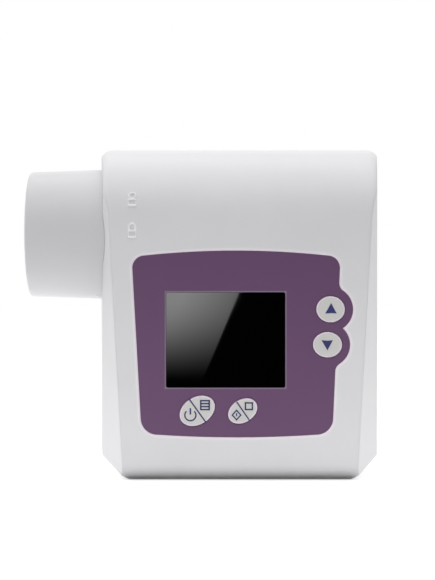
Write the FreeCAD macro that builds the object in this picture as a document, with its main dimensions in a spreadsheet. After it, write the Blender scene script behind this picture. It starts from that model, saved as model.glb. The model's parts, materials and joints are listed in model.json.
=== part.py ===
import FreeCAD, Part
import math
import os

import Sketcher

# A hand-held spirometer: a white two-part casing with a barrel-shaped top, a turbine flow sensor
# that twists into the barrel, a printed front panel with a display window, and four keys.
#
# Frame: +X to the exhaust side, -Y out of the front panel, +Z up. The origin is under the middle
# of the whole object, at the base. All lengths are millimetres and all angles degrees.

V = FreeCAD.Vector

DRIVING_SIZES = {
    # casing
    "body_width": "76.2",
    "tube_reach": "19.5",
    "body_height": "89",
    "barrel_radius": "21",
    "rear_slope": "5.05",
    "wall": "2",
    "side_draft": "0.09",
    "bevel_slope": "0.5",
    "bevel_start": "6.71",
    "bevel_rise": "0.1115",
    "barrel_end_round": "3",
    "base_round": "4",
    "corner_width": "8.6",
    "corner_angle": "36",
    "corner_round": "3",
    "lip_height": "1.2",
    "lip_clearance": "0.1",
    # turbine and its socket
    "tube_axis_height": "65.8",
    "mouth_rim_radius": "17.15",
    "mouth_root_radius": "17.9",
    "mouth_clearance": "0.15",
    "mouthpiece_radius": "15.1",
    "mouthpiece_depth": "18",
    "mouth_lead_in": "0.4",
    "rim_round": "0.8",
    "neck_radius": "16.4",
    "neck_length": "8",
    "neck_room": "0.3",
    "lug_height": "0.8",
    "lug_width": "2.6",
    "lug_angle": "20",
    "lug_setback": "3",
    "twist_angle": "22.5",
    "slot_clearance": "0.2",
    "slot_slack_angle": "1",
    "lug_place_angle": "80",
    "turning_clearance": "0.12",
    "seat_gap": "0.25",
    "collar_radius": "18.3",
    "collar_length": "10",
    "collar_recess": "2.6",
    "liner_radius": "16.4",
    "chamber_radius": "14.8",
    "chamber_bore": "13.6",
    "chamber_recess": "3",
    "exhaust_radius": "14.2",
    "exhaust_depth": "8",
    "socket_fit": "0.05",
    "liner_recess": "1.5",
    "saddle_thickness": "1.6",
    "saddle_foot": "54.4",
    "left_saddle": "-12",
    "right_saddle": "33",
    # rotor and swirlers
    "rotor_place": "7.5",
    "vane_radius": "12.4",
    "vane_length": "8",
    "vane_thickness": "0.5",
    "vane_hub_radius": "1.1",
    "shaft_radius": "0.5",
    "shaft_clearance": "0.05",
    "shaft_end_gap": "0.15",
    "bearing_radius": "1.6",
    "bearing_length": "1.8",
    "bearing_depth": "1.2",
    "swirler_gap": "1.2",
    "swirler_length": "11",
    "swirler_hub_radius": "3.2",
    "swirler_ring_wall": "0.9",
    "blade_count": "6",
    "blade_thickness": "0.8",
    "blade_twist": "50",
    "blade_steps": "4",
    "blade_sink": "0.3",
    "clip_width": "1.4",
    "clip_wall": "0.9",
    "clip_opening": "40",
    # front panel and display window
    "panel_thickness": "0.5",
    "panel_fit": "0.03",
    "panel_top": "60.8",
    "panel_top_bow": "1.7",
    "panel_bottom": "11.5",
    "panel_bottom_bow": "1",
    "panel_top_left": "-18.9",
    "panel_top_right": "36.2",
    "panel_bottom_left": "-16.3",
    "panel_bottom_right": "34.1",
    "panel_top_round": "3.2",
    "panel_bottom_round": "4.3",
    "key_bump_radius": "5.94",
    "bump_round": "2.5",
    "bump_notch_band": "2.5",
    "window_middle": "5.9",
    "window_middle_height": "37.2",
    "window_width": "31.5",
    "window_height": "25.2",
    "window_ledge": "1.2",
    "window_round": "0.5",
    "lens_thickness": "1.2",
    "lens_recess": "0.05",
    # keys
    "key_proud": "0.35",
    "key_travel": "0.3",
    "key_clearance": "0.15",
    "key_edge_round": "0.3",
    "key_flange_reach": "0.8",
    "key_flange_thickness": "0.7",
    "key_flange_gap": "0.3",
    "key_stem_radius": "1.6",
    "power_key_place": "-1.6",
    "power_key_height": "18.5",
    "power_key_long": "4.99",
    "power_key_short": "3.59",
    "power_key_tilt": "31",
    "start_key_place": "10.4",
    "start_key_height": "18.45",
    "start_key_long": "4.15",
    "start_key_short": "3",
    "start_key_tilt": "31.5",
    "up_key_place": "33.6",
    "up_key_height": "45.3",
    "up_key_long": "3.77",
    "up_key_short": "3.45",
    "up_key_tilt": "0",
    "down_key_place": "32.8",
    "key_spacing": "9.35",
    "down_key_long": "3.85",
    "down_key_short": "3.36",
    "down_key_tilt": "0",
    # electronics
    "board_depth": "6",
    "board_thickness": "1.6",
    "board_left": "-17.3",
    "board_right": "36.8",
    "board_foot": "4.4",
    "board_margin": "0.6",
    "board_notch_drop": "18.4",
    "board_hole_clearance": "0.1",
    "board_post_radius": "2",
    "board_post_left": "-15.8",
    "board_post_right": "34.6",
    "board_post_low": "7.9",
    "board_post_high": "43.4",
    "board_post_drop": "8.55",
    "board_screw_radius": "0.8",
    "board_screw_length": "4",
    "board_screw_head_radius": "1.6",
    "board_screw_head": "1",
    "switch_side": "6",
    "switch_height": "2.2",
    "plunger_radius": "1.5",
    "plunger_depth": "1.2",
    "plunger_gap": "0.2",
    "plunger_clearance": "0.1",
    "display_thickness": "2.2",
    "display_inset": "0.4",
    "display_clearance": "0.1",
    "frame_wall": "1.2",
    "battery_width": "34",
    "battery_height": "34",
    "battery_thickness": "9",
    "battery_front": "2",
    "battery_round": "1.5",
    "battery_foot": "9.4",
    "battery_left": "-8",
    "battery_rib": "1.6",
    "buzzer_radius": "6",
    "buzzer_height": "4",
    "buzzer_port": "1",
    "buzzer_place": "20",
    "buzzer_height_place": "37.4",
    "usb_width": "7.7",
    "usb_height": "3.9",
    "usb_depth": "9",
    "usb_wall": "0.4",
    "usb_place": "20",
    "usb_hole_margin": "0.6",
    "usb_recess": "0.8",
    "chip_side": "10",
    "chip_height": "1.4",
    "chip_place": "-12",
    "chip_height_place": "25.4",
    # infrared pick-up
    "carrier_thickness": "3.6",
    "carrier_width": "8",
    "carrier_angle": "96",
    "lamp_nose_gap": "0.4",
    "lamp_radius": "1.5",
    "lamp_clearance": "0.1",
    "lamp_angle": "38",
    "lamp_rim_radius": "1.9",
    "lamp_rim_height": "1",
    # casing screws
    "screw_left": "-20.5",
    "screw_right": "40",
    "screw_low": "11.9",
    "screw_high": "41.4",
    "screw_radius": "1.1",
    "screw_hole_clearance": "0.2",
    "screw_head_radius": "2.3",
    "screw_head_height": "1.6",
    "screw_seat": "4",
    "screw_length": "12",
    "screw_cross_width": "0.7",
    "screw_cross_share": "0.6",
    "screw_cross_depth_share": "0.5",
    "rear_post_radius": "3.7",
    "front_post_radius": "2.7",
}

# Sheet and lengths

document = FreeCAD.newDocument("spirometer")
sheet = document.addObject("Spreadsheet::Sheet", "Sizes")
for row, (alias, amount) in enumerate(DRIVING_SIZES.items(), start=1):
    sheet.set("A%d" % row, alias.replace("_", " "))
    sheet.set("B%d" % row, amount)
    sheet.setAlias("B%d" % row, alias)
document.recompute()


class Length:
    """A number together with the sheet formula that gives it."""

    def __init__(self, number, formula=None):
        self.number = float(number)
        self.formula = formula or repr(float(number))

    def joined(self, sign, other, number):
        return Length(number, "(%s %s %s)" % (self.formula, sign, length(other).formula))

    def __add__(self, other):
        return self.joined("+", other, self.number + length(other).number)

    def __radd__(self, other):
        return length(other) + self

    def __sub__(self, other):
        return self.joined("-", other, self.number - length(other).number)

    def __rsub__(self, other):
        return length(other) - self

    def __mul__(self, other):
        return self.joined("*", other, self.number * length(other).number)

    def __rmul__(self, other):
        return length(other) * self

    def __truediv__(self, other):
        return self.joined("/", other, self.number / length(other).number)

    def __rtruediv__(self, other):
        return length(other) / self

    def __neg__(self):
        return Length(0) - self


def length(value):
    return value if isinstance(value, Length) else Length(value)


def cosine(angle):
    return Length(math.cos(math.radians(angle.number)), "cos(%s)" % angle.formula)


def sine(angle):
    return Length(math.sin(math.radians(angle.number)), "sin(%s)" % angle.formula)


def tangent(angle):
    return Length(math.tan(math.radians(angle.number)), "tan(%s)" % angle.formula)


def size(alias):
    return Length(sheet.get(alias), "Sizes." + alias)


def bind(thing, name, value):
    thing.setExpression(name, length(value).formula)


# Lengths that several pieces share

WALL = size("wall")
LEFT = (size("tube_reach") - size("body_width")) / 2
RIGHT = (size("tube_reach") + size("body_width")) / 2
MOUTH = LEFT - size("tube_reach")
BARREL_RADIUS = size("barrel_radius")
BARREL_HEIGHT = size("body_height") - BARREL_RADIUS
TUBE_HEIGHT = size("tube_axis_height")
INSIDE_FRONT = WALL - BARREL_RADIUS
PANEL_FLOOR = size("panel_thickness") - BARREL_RADIUS
CHAMBER_LEFT = MOUTH + size("mouthpiece_depth")
CHAMBER_RIGHT = RIGHT - size("chamber_recess")
BOARD_FRONT = size("board_depth") - BARREL_RADIUS
BOARD_BACK = BOARD_FRONT + size("board_thickness")
ROTOR = size("rotor_place")
KEYS = ("power", "start", "up", "down")
KEY_HEIGHTS = {key: size(key + "_key_height") for key in KEYS[:3]}
KEY_HEIGHTS["down"] = KEY_HEIGHTS["up"] - size("key_spacing")
SOCKET_FACE = LEFT + size("collar_recess")
BEYOND = 60

# Drawing helpers


def plane_of(body, role):
    return [part for part in body.Origin.OriginFeatures if part.Role == role][0]


def new_body(name):
    return document.addObject("PartDesign::Body", name)


def sketch_on(body, role, name, origin=(0, 0, 0)):
    """A sketch on one of the body's own planes, with its origin moved within that plane."""
    sketch = body.newObject("Sketcher::SketchObject", name)
    sketch.AttachmentSupport = [(plane_of(body, role), "")]
    sketch.MapMode = "FlatFace"
    for axis, distance in zip("xyz", origin):
        bind(sketch, "AttachmentOffset.Base." + axis, distance)
    return sketch


def pin(sketch, element, point, place):
    """Holds one point of an element at its place in the sketch."""
    for kind, distance, axis in (("DistanceX", place[0], -2), ("DistanceY", place[1], -1)):
        distance = length(distance)
        if distance.number == 0:
            sketch.addConstraint(Sketcher.Constraint("PointOnObject", element, point, axis))
        else:
            constraint = Sketcher.Constraint(kind, -1, 1, element, point, distance.number)
            index = sketch.addConstraint(constraint)
            bind(sketch, "Constraints[%d]" % index, distance)


def flat(place):
    return V(length(place[0]).number, length(place[1]).number, 0)


def draw_outline(sketch, corners):
    """A closed outline. A corner is (x, y), or (x, y, radius, side) where an arc leads to it."""
    count = len(corners)
    for index in range(count):
        start = corners[index]
        end = corners[(index + 1) % count]
        if len(end) == 2:
            element = sketch.addGeometry(Part.LineSegment(flat(start), flat(end)))
        else:
            element = sketch.addGeometry(bulged(flat(start), flat(end), end[2].number, end[3]))
        backwards = len(end) == 4 and end[3] < 0
        near_end = 2 if backwards else 1
        if index:
            sketch.addConstraint(Sketcher.Constraint("Coincident", last, last_end, element, near_end))
        else:
            first = (element, near_end)
        last = element
        last_end = 3 - near_end
        pin(sketch, element, last_end, end)
        if len(end) == 4:
            radius = sketch.addConstraint(Sketcher.Constraint("Radius", element, end[2].number))
            bind(sketch, "Constraints[%d]" % radius, end[2])
    sketch.addConstraint(Sketcher.Constraint("Coincident", last, last_end, first[0], first[1]))


def bulged(start, end, radius, side):
    """The short arc between two points: side 1 turns left on the way, and -1 turns right."""
    chord = end - start
    across = V(-chord.y, chord.x, 0).normalize() * side
    middle = (start + end) / 2
    centre = middle + across * math.sqrt(max(radius ** 2 - (chord.Length / 2) ** 2, 0))
    circle = Part.Circle(centre, V(0, 0, 1), radius)
    first, last = (start, end) if side > 0 else (end, start)
    return Part.ArcOfCircle(circle, circle.parameter(first), circle.parameter(last))


def pad(body, sketch, name, distance, reversed_way=False, both_ways=False):
    feature = body.newObject("PartDesign::Pad", name)
    feature.Profile = sketch
    bind(feature, "Length", distance)
    feature.Reversed = reversed_way
    feature.Midplane = both_ways
    return feature


def pocket(body, sketch, name, distance, both_ways=False):
    feature = body.newObject("PartDesign::Pocket", name)
    feature.Profile = sketch
    bind(feature, "Length", distance)
    feature.Midplane = both_ways
    return feature


def slanted_pocket(body, sketch, name, distance, lean):
    """A pocket that runs upwards from a level sketch and leans along Y as it rises."""
    feature = body.newObject("PartDesign::Pocket", name)
    feature.Profile = sketch
    feature.UseCustomVector = True
    feature.Direction = V(0, lean.number, 1)
    bind(feature, "Direction.y", lean)
    feature.AlongSketchNormal = True
    bind(feature, "Length", distance)
    return feature


def revolved(name, outline, height=TUBE_HEIGHT):
    """A piece turned about a line along X at the given height, from points (x, radius)."""
    body = new_body(name)
    sketch = sketch_on(body, "XZ_Plane", name + "_profile", (0, height, 0))
    draw_outline(sketch, outline)
    feature = body.newObject("PartDesign::Revolution", name + "_turned")
    feature.Profile = sketch
    feature.ReferenceAxis = (sketch, ["H_Axis"])
    feature.Angle = 360
    return body


TURNS = {
    "X": FreeCAD.Rotation(V(0, 1, 0), 90),
    "Y": FreeCAD.Rotation(V(1, 0, 0), -90),
    "Z": FreeCAD.Rotation(),
}


def place(thing, at, turn=FreeCAD.Rotation()):
    thing.Placement = FreeCAD.Placement(V(0, 0, 0), turn)
    for axis, distance in zip("xyz", at):
        bind(thing, "Placement.Base." + axis, distance)
    return thing


def cylinder(name, radius, tall, at, along, start_angle=0, angle=360):
    """A cylinder or a slice of one. A slice along X starts from straight down, towards the rear."""
    thing = document.addObject("Part::Cylinder", name)
    bind(thing, "Radius", radius)
    bind(thing, "Height", tall)
    bind(thing, "Angle", angle)
    spin = FreeCAD.Rotation(V(0, 0, 1), length(start_angle).number)
    return place(thing, at, TURNS[along] * spin)


def slice_about_tube(name, radius, start, end, start_angle=0, angle=360):
    """A cylinder about the turbine's axis, or a slice of one, between two places along X."""
    return cylinder(name, radius, end - start, (start, 0, TUBE_HEIGHT), "X", start_angle, angle)


def box(name, low, high):
    thing = document.addObject("Part::Box", name)
    for side, start, end in zip(("Length", "Width", "Height"), low, high):
        bind(thing, side, length(end) - start)
    return place(thing, low)


def oval(name, long_radius, short_radius, tilt, at, depth):
    """An elliptical plug that starts at the given place and runs inwards, along +Y."""
    ellipse = document.addObject("Part::Ellipse", name + "_outline")
    bind(ellipse, "MajorRadius", long_radius)
    bind(ellipse, "MinorRadius", short_radius)
    upright = FreeCAD.Rotation(V(1, 0, 0), 90)
    place(ellipse, at, upright * FreeCAD.Rotation(V(0, 0, 1), tilt.number))
    thing = document.addObject("Part::Extrusion", name)
    thing.Base = ellipse
    thing.DirMode = "Custom"
    thing.Dir = V(0, 1, 0)
    thing.Solid = True
    bind(thing, "LengthFwd", depth)
    return thing


def fused(name, things):
    thing = document.addObject("Part::MultiFuse", name)
    thing.Shapes = things
    thing.Refine = True
    return thing


def cut(name, base, tools):
    thing = document.addObject("Part::Cut", name)
    thing.Base = base
    thing.Tool = tools[0] if len(tools) == 1 else fused(name + "_tools", tools)
    thing.Refine = True
    return thing


def shared(name, first, second):
    thing = document.addObject("Part::Common", name)
    thing.Base = first
    thing.Tool = second
    thing.Refine = True
    return thing


def group(name, things):
    thing = document.addObject("Part::Compound", name)
    thing.Links = things
    return thing


PIECES = {}


def piece(node, thing):
    """Names the finished object of one piece, and so its file."""
    thing.Label = node
    PIECES[node] = thing
    return thing


# Casing: the outer form, and the same form drawn in by a wall for the space inside


def casing_form(name, inset):
    """The casing's whole outside, with every face moved inwards by the inset."""
    inset = length(inset)
    radius = BARREL_RADIUS - inset
    left = LEFT + inset
    right = RIGHT - inset
    body = new_body(name)

    # side view: an upright front, a round top, a rear that leans in, and rounded lower edges
    slope = size("rear_slope")
    base_round = size("base_round") - inset / 2
    heel = radius / cosine(slope) - (BARREL_HEIGHT - inset) * tangent(slope)
    reach = base_round / tangent(45 + slope / 2)
    top_rear = (radius * cosine(slope), BARREL_HEIGHT - radius * sine(slope))
    profile = sketch_on(body, "YZ_Plane", name + "_side", (0, 0, left))
    draw_outline(profile, [
        (-radius, inset + base_round),
        (base_round - radius, inset, base_round, 1),
        (heel - reach, inset),
        (heel + reach * sine(slope), inset + reach * cosine(slope), base_round, 1),
        top_rear,
        (0, BARREL_HEIGHT + radius, radius, 1),
        (-radius, BARREL_HEIGHT, radius, 1),
    ])
    pad(body, profile, name + "_block", right - left)

    # front view: each lower corner cut off by a slope, with both ends of the cut rounded
    angle = size("corner_angle")
    wide = size("corner_width") - inset * (sine(angle) + cosine(angle) - 1) / sine(angle)
    tall = wide * tangent(angle)
    corner_round = size("corner_round") - inset
    upper = corner_round * tangent(45 - angle / 2)
    lower = corner_round * tangent(angle / 2)
    for side, edge, label in ((1, left, "_left_corner"), (-1, right, "_right_corner")):
        corner = sketch_on(body, "XZ_Plane", name + label)
        draw_outline(corner, [
            (edge - side, inset - 1),
            (edge - side, inset + tall + upper),
            (edge, inset + tall + upper),
            (edge + upper * cosine(angle) * side, inset + tall - upper * sine(angle), corner_round, side),
            (edge + (wide - lower * cosine(angle)) * side, inset + lower * sine(angle)),
            (edge + (wide + lower) * side, inset, corner_round, side),
            (edge + (wide + lower) * side, inset - 1),
        ])
        pocket(body, corner, corner.Name + "_cut", BARREL_RADIUS * 3, both_ways=True)

    # sides: widest at the joint line, and drawn in a little towards the front and the rear
    draft = size("side_draft")
    margin = 1
    out = BARREL_RADIUS + 2 * margin
    for across, edge, side in ((1, left, "left"), (-1, right, "right")):
        section = sketch_on(body, "XY_Plane", "%s_draft_%s" % (name, side), (0, 0, -margin))
        draw_outline(section, [
            (edge, 0),
            (edge + draft * out * across, out),
            (edge - margin * across, out),
            (edge - margin * across, -out),
            (edge + draft * out * across, -out),
        ])
        slanted_pocket(body, section, section.Name + "_cut", size("body_height") + 2 * margin, length(0))

    # side bevels: a sloping plane at each corner, wide at the base and narrow at the top
    slope = size("bevel_slope")
    rise = size("bevel_rise")
    foot = size("bevel_start") - rise * margin
    for across, edge, side in ((1, left, "left"), (-1, right, "right")):
        for facing, end in ((-1, "front"), (1, "rear")):
            label = "%s_bevel_%s_%s" % (name, side, end)
            section = sketch_on(body, "XY_Plane", label + "_section", (0, 0, -margin))
            outer = edge - slope * margin * across
            draw_outline(section, [
                (outer, (foot - margin) * facing),
                (outer, out * facing),
                (edge + slope * (out - foot) * across, out * facing),
            ])
            slanted_pocket(body, section, label, size("body_height") + 2 * margin, rise * facing)

    # rounded ends of the barrel, turned about its own axis over the top half
    end_round = size("barrel_end_round") - inset
    for side, edge, label in ((1, left, "_left_end"), (-1, right, "_right_end")):
        ring = sketch_on(body, "XZ_Plane", name + label, (0, BARREL_HEIGHT, 0))
        draw_outline(ring, [
            (edge - side, radius + 1),
            (edge - side, radius - end_round),
            (edge, radius - end_round),
            (edge + end_round * side, radius, end_round, -side),
            (edge + end_round * side, radius + 1),
        ])
        groove = body.newObject("PartDesign::Groove", ring.Name + "_cut")
        groove.Profile = ring
        groove.ReferenceAxis = (ring, ["H_Axis"])
        groove.Angle = 180
        groove.Midplane = True
    return body


# Front panel: one form drawn twice, for the panel itself and, a little larger, for its recess


def edges_along_y(shape, low, high, right_of=-BEYOND):
    """Names of the straight edges along Y between two heights and right of one place."""
    names = []
    for index, edge in enumerate(shape.Edges, start=1):
        start, end = edge.Vertexes[0].Point, edge.Vertexes[-1].Point
        along_y = abs(start.x - end.x) < 1e-6 and abs(start.z - end.z) < 1e-6 and abs(start.y - end.y) > 1e-6
        if along_y and low < start.z < high and start.x > right_of:
            names.append("Edge%d" % index)
    return names


def rounded(body, name, feature, edges, radius):
    document.recompute()
    fillet = body.newObject("PartDesign::Fillet", name)
    fillet.Base = (feature, edges(feature.Shape))
    bind(fillet, "Radius", radius)
    return fillet


def bow_radius(half_chord, rise):
    return (half_chord * half_chord + rise * rise) / (2 * rise)


PANEL_MIDDLE_HEIGHT = (size("panel_top").number + size("panel_bottom").number) / 2


def panel_form(name, grow, thickness):
    """The printed panel's outline, grown by a clearance, standing on the floor of its recess."""
    grow = length(grow)
    body = new_body(name)
    top = size("panel_top") + grow - size("panel_top_bow")
    bottom = size("panel_bottom") - grow + size("panel_bottom_bow")
    top_left = size("panel_top_left") - grow
    top_right = size("panel_top_right") + grow
    bottom_left = size("panel_bottom_left") - grow
    bottom_right = size("panel_bottom_right") + grow
    floor = (0, 0, -PANEL_FLOOR)

    outline = sketch_on(body, "XZ_Plane", name + "_outline", floor)
    draw_outline(outline, [
        (top_left, top, bow_radius((top_right - top_left) / 2, size("panel_top_bow")), 1),
        (bottom_left, bottom),
        (bottom_right, bottom, bow_radius((bottom_right - bottom_left) / 2, size("panel_bottom_bow")), 1),
        (top_right, top),
    ])
    plate = pad(body, outline, name + "_plate", thickness)
    plate = rounded(body, name + "_top_corners", plate,
                    lambda shape: edges_along_y(shape, PANEL_MIDDLE_HEIGHT, BEYOND * 2),
                    size("panel_top_round") + grow)
    plate = rounded(body, name + "_bottom_corners", plate,
                    lambda shape: edges_along_y(shape, -BEYOND, PANEL_MIDDLE_HEIGHT),
                    size("panel_bottom_round") + grow)

    for key in ("up", "down"):
        bump = sketch_on(body, "XZ_Plane", "%s_%s_bump" % (name, key), floor)
        centre = (size(key + "_key_place"), KEY_HEIGHTS[key])
        ring = bump.addGeometry(Part.Circle(flat(centre), V(0, 0, 1), size("key_bump_radius").number))
        pin(bump, ring, 3, centre)
        radius = bump.addConstraint(Sketcher.Constraint("Radius", ring, size("key_bump_radius").number))
        bind(bump, "Constraints[%d]" % radius, size("key_bump_radius") + grow)
        plate = pad(body, bump, bump.Name + "_pad", thickness)

    reach = size("key_bump_radius").number * 1.5
    low = KEY_HEIGHTS["down"].number - reach
    high = KEY_HEIGHTS["up"].number + reach
    middle = (KEY_HEIGHTS["up"].number + KEY_HEIGHTS["down"].number) / 2
    notch = size("bump_notch_band").number
    rounded(body, name + "_bump_roots", plate,
            lambda shape: (edges_along_y(shape, low, middle - notch, size("window_middle").number)
                           + edges_along_y(shape, middle + notch, high, size("window_middle").number)),
            size("bump_round") - grow)
    return body


def window_block(name, margin, front, back):
    """A rectangular block around the window's middle, its sides moved out by a margin."""
    margin = length(margin)
    half_width = size("window_width") / 2 + margin
    half_height = size("window_height") / 2 + margin
    low = (size("window_middle") - half_width, front, size("window_middle_height") - half_height)
    high = (size("window_middle") + half_width, back, size("window_middle_height") + half_height)
    return box(name, low, high)


def rounded_window(name, margin, front, back):
    """The same block with its four corners rounded, as the lens and its opening are."""
    block = window_block(name + "_block", margin, front, back)
    document.recompute()
    corners = edges_along_y(block.Shape, -BEYOND, 2 * BEYOND)
    radius = size("window_round").number + length(margin).number
    thing = document.addObject("Part::Fillet", name)
    thing.Base = block
    thing.Edges = [(int(corner[4:]), radius, radius) for corner in corners]
    return thing


def key_oval(name, key, grow, front, depth):
    """An elliptical plug in the outline of one key, from a front plane inwards."""
    centre = (size(key + "_key_place"), front, KEY_HEIGHTS[key])
    long_radius = size(key + "_key_long") + grow
    short_radius = size(key + "_key_short") + grow
    return oval(name, long_radius, short_radius, size(key + "_key_tilt"), centre, depth)


FRONT = -BARREL_RADIUS
LENS_FRONT = FRONT + size("lens_recess")
LENS_BACK = LENS_FRONT + size("lens_thickness")
panel_plate = panel_form("panel_plate", 0, size("panel_thickness"))
panel_openings = [rounded_window("panel_window", size("panel_fit"), FRONT - 1, INSIDE_FRONT)]
for key in KEYS:
    panel_openings.append(key_oval("panel_%s_hole" % key, key, size("key_clearance"), FRONT - 1, 3))
piece("front_overlay", cut("overlay_cut", panel_plate, panel_openings))
piece("screen_window", rounded_window("lens", 0, LENS_FRONT, LENS_BACK))

# Casing halves

outside = casing_form("outside", 0)
inside = casing_form("inside", WALL)
lip_face = casing_form("lip_face", WALL / 2 + size("lip_clearance"))
rebate_face = casing_form("rebate_face", WALL / 2)
walls = cut("casing_walls", outside, [inside])

SCREWS = [(size("screw_" + side), size("screw_" + level))
          for side in ("left", "right") for level in ("low", "high")]
BOARD_POSTS = [
    (size("board_post_left"), size("board_post_low")),
    (size("board_post_right"), size("board_post_low")),
    (size("board_post_left"), size("board_post_high")),
    (size("board_post_right"), KEY_HEIGHTS["down"] - size("board_post_drop")),
]


def saddles(name, front, back):
    """Two upright ribs that hold the socket, each with a half-round seat."""
    ribs = []
    for side in ("left", "right"):
        start = size(side + "_saddle")
        low = (start, front, size("saddle_foot"))
        high = (start + size("saddle_thickness"), back, size("body_height"))
        ribs.append(box("%s_%s" % (name, side), low, high))
    return ribs


def socket_holes(name):
    """The holes that the mouth tube, the socket's collar and its liner pass through."""
    fit = size("socket_fit")
    collar_end = SOCKET_FACE + size("collar_length") + fit
    mouth = slice_about_tube(name + "_mouth_hole", size("mouth_root_radius") + size("mouth_clearance"),
                             LEFT - 1, SOCKET_FACE)
    collar = slice_about_tube(name + "_collar_hole", size("collar_radius") + fit, SOCKET_FACE - fit, collar_end)
    liner = slice_about_tube(name + "_liner_hole", size("liner_radius") + fit, SOCKET_FACE, RIGHT + 1)
    return [mouth, collar, liner]


def usb_block(name, margin, low_end, high_end):
    """An upright block on the back of the board, around the socket's middle."""
    middle = BOARD_BACK + size("usb_height") / 2
    half_deep = size("usb_height") / 2 + margin
    half_wide = size("usb_width") / 2 + margin
    low = (size("usb_place") - half_wide, middle - half_deep, low_end)
    high = (size("usb_place") + half_wide, middle + half_deep, high_end)
    return box(name, low, high)


def front_half():
    half_space = box("front_space", (-BEYOND, -BEYOND, -1), (BEYOND, 0, 2 * BEYOND))
    lip_space = box("lip_space", (-BEYOND, -size("wall") / 2, -1), (BEYOND, size("lip_height"), 2 * BEYOND))
    lip = shared("front_lip", cut("lip_ring", lip_face, [inside]), lip_space)
    inner = saddles("front_saddle", FRONT, 0)
    posts = [cylinder("front_post_%d" % number, size("front_post_radius"), BARREL_RADIUS, (x, FRONT, z), "Y")
             for number, (x, z) in enumerate(SCREWS)]
    board_posts = [cylinder("board_post_%d" % number, size("board_post_radius"), BOARD_FRONT - PANEL_FLOOR,
                            (x, PANEL_FLOOR, z), "Y") for number, (x, z) in enumerate(BOARD_POSTS)]
    inner_parts = shared("front_inner", fused("front_inner_parts", inner + posts + board_posts), outside)
    half = shared("front_walls", walls, half_space)
    tools = socket_holes("front")
    tools.append(panel_form("panel_recess", size("panel_fit"), size("panel_thickness") + 1))
    tools.append(rounded_window("lens_recess_room", size("panel_fit"), FRONT - 1, LENS_BACK))
    tools.append(window_block("window_aperture", -size("window_ledge"), FRONT, INSIDE_FRONT + 1))
    for key in KEYS:
        tools.append(key_oval("shell_%s_hole" % key, key, size("key_clearance"), FRONT - 1, WALL + 2))
    pilot = size("screw_length") - size("screw_seat")
    for number, (x, z) in enumerate(SCREWS):
        tools.append(cylinder("front_pilot_%d" % number, size("screw_radius"), pilot + 2, (x, -pilot, z), "Y"))
    board_pilot = size("board_screw_length") - size("board_thickness")
    for number, (x, z) in enumerate(BOARD_POSTS):
        tools.append(cylinder("board_pilot_%d" % number, size("board_screw_radius"), board_pilot + 1,
                              (x, BOARD_FRONT - board_pilot, z), "Y"))
    tools.append(usb_block("front_usb_hole", size("usb_hole_margin"), -1, WALL + 1))
    return cut("front_half", fused("front_solid", [half, lip, inner_parts]), tools)


def rear_half():
    half_space = box("rear_space", (-BEYOND, 0, -1), (BEYOND, BEYOND, 2 * BEYOND))
    rebate_end = size("lip_height") + size("lip_clearance")
    rebate_space = box("rebate_space", (-BEYOND, -1, -1), (BEYOND, rebate_end, 2 * BEYOND))
    inner = saddles("rear_saddle", 0, BARREL_RADIUS)
    posts = [cylinder("rear_post_%d" % number, size("rear_post_radius"), BARREL_RADIUS, (x, 0, z), "Y")
             for number, (x, z) in enumerate(SCREWS)]
    cradle = []
    battery_back = size("battery_front") + size("battery_thickness")
    for number in range(3):
        start = size("battery_left") + (size("battery_width") - size("battery_rib")) * number / 2
        low = (start, battery_back, size("battery_foot"))
        high = (start + size("battery_rib"), BARREL_RADIUS, size("battery_foot") + size("battery_height"))
        cradle.append(box("battery_rib_%d" % number, low, high))
    shelf_low = (size("battery_left"), size("battery_front"), size("battery_foot") - size("battery_rib"))
    shelf_high = (size("battery_left") + size("battery_width"), BARREL_RADIUS, size("battery_foot"))
    cradle.append(box("battery_shelf", shelf_low, shelf_high))
    inner_parts = shared("rear_inner", fused("rear_inner_parts", inner + posts + cradle), outside)
    half = shared("rear_walls", walls, half_space)
    tools = socket_holes("rear")
    tools.append(shared("rebate", cut("rebate_ring", rebate_face, [inside]), rebate_space))
    seat = size("screw_seat")
    hole_radius = size("screw_radius") + size("screw_hole_clearance")
    sink_radius = size("screw_head_radius") + size("screw_hole_clearance")
    for number, (x, z) in enumerate(SCREWS):
        tools.append(cylinder("rear_hole_%d" % number, hole_radius, seat + 2, (x, -1, z), "Y"))
        tools.append(cylinder("rear_sink_%d" % number, sink_radius, BEYOND, (x, seat, z), "Y"))
    return cut("rear_half", fused("rear_solid", [half, inner_parts]), tools)


piece("front_shell", front_half())
piece("rear_shell", rear_half())


def screw(name, x, z, seat, sizes):
    """A pan-head screw along Y. Its head lies behind the seat and has a cross recess."""
    radius, head_radius, head_height, tall = sizes
    shank = cylinder(name + "_shank", radius, tall, (x, seat - tall, z), "Y")
    head = cylinder(name + "_head", head_radius, head_height, (x, seat, z), "Y")
    solid = fused(name + "_solid", [shank, head])
    half_length = head_radius * size("screw_cross_share")
    half_width = size("screw_cross_width") / 2
    floor = seat + head_height * (1 - size("screw_cross_depth_share"))
    bars = []
    for label, across, up in (("level", half_length, half_width), ("upright", half_width, half_length)):
        low = (x - across, floor, z - up)
        high = (x + across, floor + head_height, z + up)
        bars.append(box("%s_%s_bar" % (name, label), low, high))
    return cut(name, solid, bars)


casing_screw = (size("screw_radius"), size("screw_head_radius"), size("screw_head_height"),
                size("screw_length"))
piece("housing_screws", group("housing_screw_set", [
    screw("housing_screw_%d" % number, x, z, size("screw_seat"), casing_screw)
    for number, (x, z) in enumerate(SCREWS)]))

# Electronics

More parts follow.
